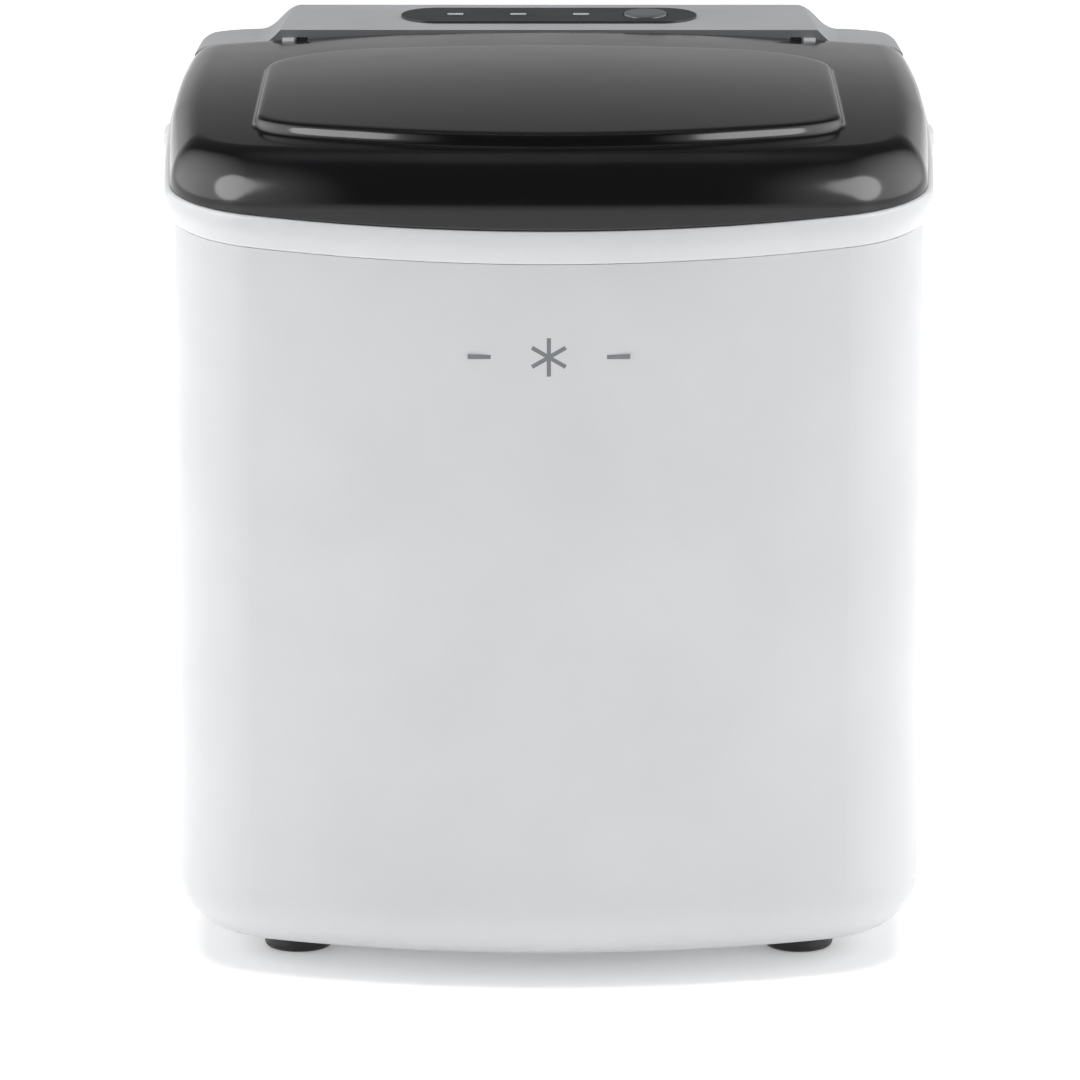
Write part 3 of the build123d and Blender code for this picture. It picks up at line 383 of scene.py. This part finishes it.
# The riser's section from foot to top: distance out from the panel's outline, share of the rise.
RISER = np.array([(1.9, 0), (1.4, 0), (1.0, 0.05), (0.6, 0.16), (0.3, 0.32), (0.12, 0.5), (-0.05, 0.68),
                  (-0.3, 0.82), (-0.75, 0.92), (-1.5, 0.98), (-2.6, 1.0), (-5.0, 1.0)])


def lid_top(x, y):
    """Height of the lid's top: a slope up to the rear with a low arch on it, less a parabola across."""
    t = (y - FRONT) / (LID_BACK - FRONT)
    return TOP_FRONT + TOP_RISE * t + 4 * ARCH * t * (1 - t) - CROWN * (x / CROWN_HALF) ** 2


def panel_outline(grow):
    """Dense outline of the raised panel, moved out by grow: a bowed front, rounded corners, straight
    sides and back. Each point is moved along the outline's normal."""
    t = np.linspace(0, 1, 60)
    bx = (PANEL_HALF - PANEL_R) * t
    by = PANEL_FRONT + PANEL_BOW * t ** 2
    slope = 2 * PANEL_BOW / (PANEL_HALF - PANEL_R)
    p0 = np.array([bx[-1], by[-1]])
    p3 = np.array([PANEL_HALF, by[-1] + PANEL_R * 1.05])
    reach = 0.56 * PANEL_R
    p1 = p0 + reach * np.array([1, slope]) / np.hypot(1, slope)
    p2 = p3 - np.array([0, reach])
    s = t[1:, None]
    corner = (1 - s) ** 3 * p0 + 3 * (1 - s) ** 2 * s * p1 + 3 * (1 - s) * s ** 2 * p2 + s ** 3 * p3
    side = np.stack([0 * t + PANEL_HALF, p3[1] + (PANEL_REAR - PANEL_R - p3[1]) * t], -1)[1:]
    a = t[1:] * np.pi / 2
    rear = np.stack([PANEL_HALF - PANEL_R * (1 - np.cos(a)), PANEL_REAR - PANEL_R * (1 - np.sin(a))], -1)
    back = np.stack([(PANEL_HALF - PANEL_R) * (1 - t), 0 * t + PANEL_REAR], -1)[1:]
    line = np.concatenate([np.stack([bx, by], -1), corner, side, rear, back])
    along = np.gradient(line, axis=0)
    along /= np.linalg.norm(along, axis=1)[:, None]
    line = line + grow * np.stack([along[:, 1], -along[:, 0]], -1)
    line[0, 0] = line[-1, 0] = 0.0
    return line


def panel_loop(grow, angle):
    """Points of the panel's outline at given bearings from its middle."""
    line = panel_outline(grow)
    bearing = np.arctan2(line[:, 0], -(line[:, 1] - PANEL_MID))
    return np.interp(angle, bearing, line[:, 0]), np.interp(angle, bearing, line[:, 1])


def panel_rise(y):
    """How far the raised panel stands over the lid's top: least at its rear, growing evenly forwards."""
    near = np.clip((PANEL_REAR - y) / (PANEL_REAR - PANEL_FRONT), 0, 1)
    return PANEL_RISE * (REAR_SHARE + (1 - REAR_SHARE) * near)


def casing_rows():
    """Rows of the lid's right half outside the panel, from the seam up: a wall that tucks in under the
    rolled rear edge, a quarter-ellipse shoulder whose size shrinks towards the rear, and a ledge."""
    back_u = np.concatenate([[1.8, 1.6, 1.4, 1.2, 1.0, NOTCH_IN / NOTCH_OUT], np.linspace(0.9, 0, 22)])
    shares = (spread(33), spread(21), spread(33), np.array([0.0]), back_u)
    first = np.cumsum([0, *map(len, shares)])
    side, rear = slice(first[2], first[3]), slice(first[3], None)
    depth, rise = np.full(first[-1], SHOULDER_DEPTH), np.full(first[-1], SHOULDER_HIGH)
    fade = shares[2] ** 0.8
    early = np.minimum(1, shares[2] / 0.35)
    depth[side] = SHOULDER_DEPTH - SIDE_DEPTH_LOSS * fade
    rise[side] = SHOULDER_HIGH - (SHOULDER_HIGH - SIDE_HIGH) * early - (SIDE_HIGH - ROLL) * fade
    depth[rear], rise[rear] = SHOULDER_DEPTH - SIDE_DEPTH_LOSS, ROLL
    flat = np.zeros((1, first[-1]))
    x, y = half_outline(flat + LID_INSET, flat + LID_BACK, shares, notch=NOTCH_OUT)
    high = lid_top(x, y) - rise
    low = np.minimum(seam_height(y) + WALL_GAP, high - WALL_LEAST)
    wall_z = low + (high - low) * np.linspace(0, 1, WALL_ROWS)[:, None]
    tucked = HINGE_Y + ROLL * np.sqrt(np.clip(1 - ((high - wall_z) / ROLL) ** 2, 0, 1))
    turn = np.linspace(0, np.pi / 2, TURN_ROWS + 1)[1:, None]
    turned = LID_INSET + depth * (1 - np.cos(turn))
    rolled = LID_BACK - ROLL * (1 - np.cos(turn)) + flat
    inset = np.concatenate([LID_INSET + 0 * wall_z, turned, LID_INSET + depth + LEDGE_GAP + flat])
    back = np.concatenate([tucked, rolled, flat + LID_BACK - NOTCH_DEEP])
    x, y = half_outline(inset, back, shares, notch=NOTCH_OUT)
    drop = np.concatenate([rise * (1 - np.sin(turn)), flat])
    return x, y, np.concatenate([wall_z, lid_top(x, y)[WALL_ROWS:] - drop])


def panel_rows(x, y):
    """Rows from the ledge row x, y to near the panel's middle: three straight across to the riser's foot,
    the riser's filleted section, and six that shrink the panel's outline."""
    bearing = np.arctan2(x, -(y - PANEL_MID))
    bearing[-1] = np.pi
    foot = panel_loop(RISER[0, 0], bearing)
    share = np.array([0.25, 0.5, 0.75])[:, None]
    bx, by = x + (foot[0] - x) * share, y + (foot[1] - y) * share
    px, py = np.stack([panel_loop(grow, bearing) for grow in RISER[:, 0]], 1)
    shrink = np.array([0.88, 0.74, 0.58, 0.42, 0.26, 0.1])[:, None]
    tx, ty = px[-1] * shrink, PANEL_MID + (py[-1] - PANEL_MID) * shrink
    z = lid_top(bx, by), lid_top(px, py) + panel_rise(py) * RISER[:, 1:], lid_top(tx, ty) + panel_rise(ty)
    return np.concatenate([bx, px, tx]), np.concatenate([by, py, ty]), np.concatenate(z)


def make_lid():
    """The lid: both halves of its outer face, closed at a pole in the panel's middle, with the faces
    in the two hinge notches deleted and a wall given inwards."""
    casing = casing_rows()
    panel = panel_rows(casing[0][-1], casing[1][-1])
    x, y, z = (np.concatenate(pair) for pair in zip(casing, panel))
    x[:, 0] = x[:, -1] = 0.0
    pole = (0, PANEL_MID, lid_top(0, PANEL_MID) + panel_rise(PANEL_MID))
    lid = closed_piece("lid_dome", both_halves(x, y, z), pole)
    centre = np.zeros(len(lid.data.polygons) * 3)
    lid.data.polygons.foreach_get("center", centre)
    across, along = (centre.reshape(-1, 3) / MM).T[:2]
    beside = (np.abs(across) > NOTCH_IN) & (np.abs(across) < NOTCH_OUT)
    in_notch = beside & (along > LID_BACK - NOTCH_DEEP)
    cut = bmesh.new()
    cut.from_mesh(lid.data)
    cut.faces.ensure_lookup_table()
    gone = [cut.faces[i] for i in np.flatnonzero(in_notch)]
    bmesh.ops.delete(cut, geom=gone, context="FACES")
    cut.to_mesh(lid.data)
    cut.free()
    wall = lid.modifiers.new("wall", "SOLIDIFY")
    wall.thickness, wall.offset = LID_WALL * MM, -1
    lid.data.materials.append(san_smoke)
    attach(lid, "lid")
    return lid


lid = make_lid()


# ---------------------------------------------------------------- hinge knuckles

KNUCKLE_BORE, KNUCKLE_R, KNUCKLE_LONG, KNUCKLE_BEVEL = 1.3, 3.4, 4.0, 0.3
KNUCKLE_STARTS = (81.5, -85.5)


def make_knuckle(number):
    """Bush along X on the hinge line: a closed profile of (radius, x) with bevelled rims, turned about it."""
    x0 = KNUCKLE_STARTS[number]
    x1, rim = x0 + KNUCKLE_LONG, KNUCKLE_R - KNUCKLE_BEVEL
    profile = ((KNUCKLE_BORE, x0), (rim, x0), (KNUCKLE_R, x0 + KNUCKLE_BEVEL),
               (KNUCKLE_R, x1 - KNUCKLE_BEVEL), (rim, x1), (KNUCKLE_BORE, x1))
    turn = 2 * np.pi * spread(32)
    loops = np.array([np.stack([a + 0 * turn, HINGE_Y + r * np.cos(turn), HINGE_Z + r * np.sin(turn)], -1)
                      for r, a in profile])
    knuckle = closed_piece(f"lid_knuckle_{number}", loops, cyclic=True)
    tidy_normals(knuckle)
    knuckle.data.materials.append(san_smoke)
    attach(knuckle, "lid")


# ---------------------------------------------------------------- top frame

SKIRT_LOW, BACK_SPLIT = 228.8, 60.0
FRONT_SET_IN, FRONT_EASE, OUTER_FACE = 1.0, 0.4, 3.0
# (inset, height below the seam) round the ring's section; None is the skirt's level foot.
FRAME_SECTION = ((12.0, 0), (6.0, 0), (1.2, 0), (0.5, -0.15), (0.15, -0.5), (0.0, -1.1), (0.0, -2.4),
                 (0.1, -4.0), (0.45, -5.6), (1.0, -7.0), (1.65, -8.4), (2.2, -9.6), (2.5, -10.2),
                 (2.9, -10.4), (5.5, -10.4), (5.5, None), (8.0, None), (8.0, -10.4), (12.0, -10.4))


def make_frame():
    """Ring under the lid: its section carried round the outline. Its outer face is upright, then draws
    in to the body in an S, which is shallower and set further in along the front."""
    shares = (spread(33), spread(21), spread(39), spread(13), np.linspace(2, 0, 16))
    first = np.cumsum([0, *map(len, shares)])
    inset = np.array([i for i, _ in FRAME_SECTION])[:, None] + np.zeros((1, first[-1]))
    ahead = np.zeros(first[-1])
    ahead[:first[1]], ahead[first[1]:first[2]] = 1, 1 - shares[1]
    eased = inset * (1 - FRONT_EASE * ahead) + FRONT_SET_IN * ahead
    inset = np.where(inset < OUTER_FACE, eased, inset)
    x, y = half_outline(inset, REAR - inset, shares, np.maximum(REAR_R - inset, LEAST_R), BACK_SPLIT)
    z = np.stack([0 * row + SKIRT_LOW if below is None else seam_height(row) + below
                  for row, (_, below) in zip(y, FRAME_SECTION)])
    x[:, 0] = x[:, -1] = 0.0
    ring = closed_piece("top_ring", both_halves(x, y, z)[::-1], cyclic=True)
    ring.data.materials.append(abs_white)
    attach(ring, "housing")
    return ring


ring = make_frame()


# ---------------------------------------------------------------- grip lips

GRIP_X, GRIP_Y, GRIP_Z = 121.6, SEAM_MID_Y, 250.0
GRIP_REACH, GRIP_LONG, GRIP_HIGH, GRIP_TIP = 3.3, 12.0, 3.5, 124.95


def power(value, exponent):
    """A power that keeps its base's sign."""
    return np.sign(value) * np.abs(value) ** exponent


def make_grip(name, side):
    """Finger lip on the ring's side, +1 or -1: a rounded pad whose outer face swells as a superellipsoid.
    Its inner end is open and lies inside the ring."""
    u, v = np.meshgrid(2 * np.pi * spread(48), np.linspace(-np.pi / 2, np.pi / 2, 17)[1:-1])
    wide = power(np.cos(v), 0.35)
    loops = np.stack([side * (GRIP_X + GRIP_REACH * power(np.sin(v), 0.7)),
                      GRIP_Y + GRIP_LONG * wide * power(np.cos(u), 0.5),
                      GRIP_Z + GRIP_HIGH * wide * power(np.sin(u), 0.5)], -1)
    pad = closed_piece(name, loops, (side * GRIP_TIP, GRIP_Y, GRIP_Z))
    tidy_normals(pad)
    pad.data.materials.append(abs_white)
    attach(pad, "housing")


make_grip("grip_lip_left", -1)
make_grip("grip_lip_right", 1)
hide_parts("top_frame")
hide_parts("lid_shell")
for number in range(len(KNUCKLE_STARTS)):
    make_knuckle(number)

# ---------------------------------------------------------------- stage, light and camera


def floor_sheet():
    """Flat grid on the ground, 18 by 21 metres, with a line every metre."""
    x, y = np.meshgrid(np.linspace(-9, 9, 19), np.linspace(-7, 14, 22))
    rows, columns = x.shape
    first = (np.arange(rows - 1)[:, None] * columns + np.arange(columns - 1)).reshape(-1, 1)
    faces = first + np.array([0, 1, columns + 1, columns])
    points = np.stack([x, y, 0 * x], -1).reshape(-1, 3)
    return smooth_piece("studio_floor", points, faces.tolist())


# Matt white paper: so pale that the floor and the room behind it run together.
studio, tree, shader = start("studio_paper", "#FFFFFF", 0.6, Emission_Color=(1, 1, 1, 1),
                             Emission_Strength=0.25)
vary_roughness(tree, shader, cloud(tree, 300), 0.55, 0.65)
floor = floor_sheet()
floor.data.materials.append(studio)

SKY = ((0.0, 1.0), (0.12, 0.75), (0.18, 0.42), (0.26, 0.22), (0.36, 0.1), (1.0, 0.1))
FRONT_LEVEL, SIDE_LEVEL, ROOM_STRENGTH = 0.1, 4.6, 0.55


def grey(level):
    """Neutral colour of a linear brightness."""
    return level, level, level, 1


def make_room():
    """World that is bright low behind the object, dark in front of it and above, and brightest at both
    sides: a ramp over the direction's height, mixed by its depth and then by its width."""
    world = bpy.data.worlds.new("studio_room")
    scene.world = world
    world.use_nodes = True
    tree = world.node_tree
    tree.nodes.clear()
    heading = add(tree, "SeparateXYZ", {"Vector": add(tree, "TexCoord").outputs["Generated"]})
    sky = add(tree, "ValToRGB", {"Fac": heading.outputs["Z"]})
    stops = sky.color_ramp.elements
    stops[0].color, stops[-1].color = grey(SKY[0][1]), grey(SKY[-1][1])
    for position, level in SKY[1:-1]:
        stops.new(position).color = grey(level)
    behind = add(tree, "MapRange", {"Value": heading.outputs["Y"], "From Min": -0.3, "From Max": 0.3})
    room = add(tree, "MixRGB", {"Fac": behind.outputs[0], "Color1": grey(FRONT_LEVEL),
                                "Color2": sky.outputs[0]})
    width = add(tree, "Math", {0: heading.outputs["X"]}, operation="ABSOLUTE")
    beside = add(tree, "MapRange", {"Value": width.outputs[0], "From Min": 0.5, "From Max": 0.95})
    sides = add(tree, "MixRGB", {"Fac": beside.outputs[0], "Color1": room.outputs[0],
                                 "Color2": grey(SIDE_LEVEL)})
    shine = add(tree, "Background", {"Color": sides.outputs[0], "Strength": ROOM_STRENGTH})
    add(tree, "OutputWorld", {"Surface": shine.outputs[0]})


def softbox(name, location, target, size, watts):
    """Elliptical area light that faces a target; sizes in metres."""
    light = bpy.data.lights.new(name, "AREA")
    light.shape = "ELLIPSE"
    light.size, light.size_y = size
    light.energy = watts
    lamp = bpy.data.objects.new(name, light)
    scene.collection.objects.link(lamp)
    lamp.location = location
    lamp.rotation_euler = (Vector(target) - Vector(location)).to_track_quat("-Z", "Y").to_euler()
    return lamp


make_room()
SIDE_BOX, SIDE_POWER, SIDE_TARGET = (1.4, 1.5), 26, (0, 0, 0.13)
left = softbox("left_softbox", (-2.1, -1.1, 0.95), SIDE_TARGET, SIDE_BOX, SIDE_POWER)
right = softbox("right_softbox", (2.1, -1.2, 0.95), SIDE_TARGET, SIDE_BOX, SIDE_POWER)
left.visible_diffuse = right.visible_diffuse = False  # they only draw the two highlights on the lid
overhead = softbox("top_softbox", (0, 0.2, 2.8), (0, 0, 0.1), (2.6, 2.2), 100)
overhead.visible_glossy = False  # it lights the casing without a highlight of its own

LENS, SENSOR = 238.0, 36.0
LOOK_DOWN, TURN_LEFT = math.radians(11.37), 0.00126
camera_data = bpy.data.cameras.new("camera")
camera_data.lens, camera_data.sensor_width = LENS, SENSOR
camera = bpy.data.objects.new("camera", camera_data)
scene.collection.objects.link(camera)
camera.location = (0, -2.3075, 0.5787)
camera.rotation_euler = (math.pi / 2 - LOOK_DOWN, 0, TURN_LEFT)
scene.camera = camera
scene.view_settings.view_transform = "Standard"
